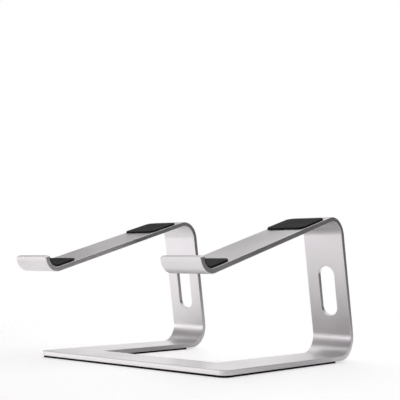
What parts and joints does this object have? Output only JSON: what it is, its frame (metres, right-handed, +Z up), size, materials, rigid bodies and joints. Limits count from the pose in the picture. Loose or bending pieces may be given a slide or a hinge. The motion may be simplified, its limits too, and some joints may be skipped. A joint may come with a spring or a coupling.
{
  "type": "laptop stand",
  "caption": "Raised open laptop stand: flat crossbar and bent plate legs with slotted risers, sloping arms and front hooks lined with rubber.",
  "frame": {"origin": "middle of the footprint, on the surface that the rubber pads stand on", "axes": "+X to the user's right along the crossbar, +Y from the hooks towards the back, +Z up"},
  "size_m": [0.26, 0.2555, 0.154],
  "materials": {
    "plate": "bead blasted and clear anodised, satin",
    "screw_steel": "zinc plated, turned",
    "base_rubber": "matt black, fine grain",
    "silicone": "matt black silicone"
  },
  "bodies": {
    "root": {"crossbar": "plate", "left_leg": "plate", "right_leg": "plate", "left_outer_screw": "screw_steel", "left_inner_screw": "screw_steel", "right_inner_screw": "screw_steel", "right_outer_screw": "screw_steel", "crossbar_pad": "base_rubber", "left_foot_pad": "base_rubber", "right_foot_pad": "base_rubber", "left_hook_pad": "silicone", "right_hook_pad": "silicone", "left_arm_pad": "silicone", "right_arm_pad": "silicone"}
  },
  "joints": []
}
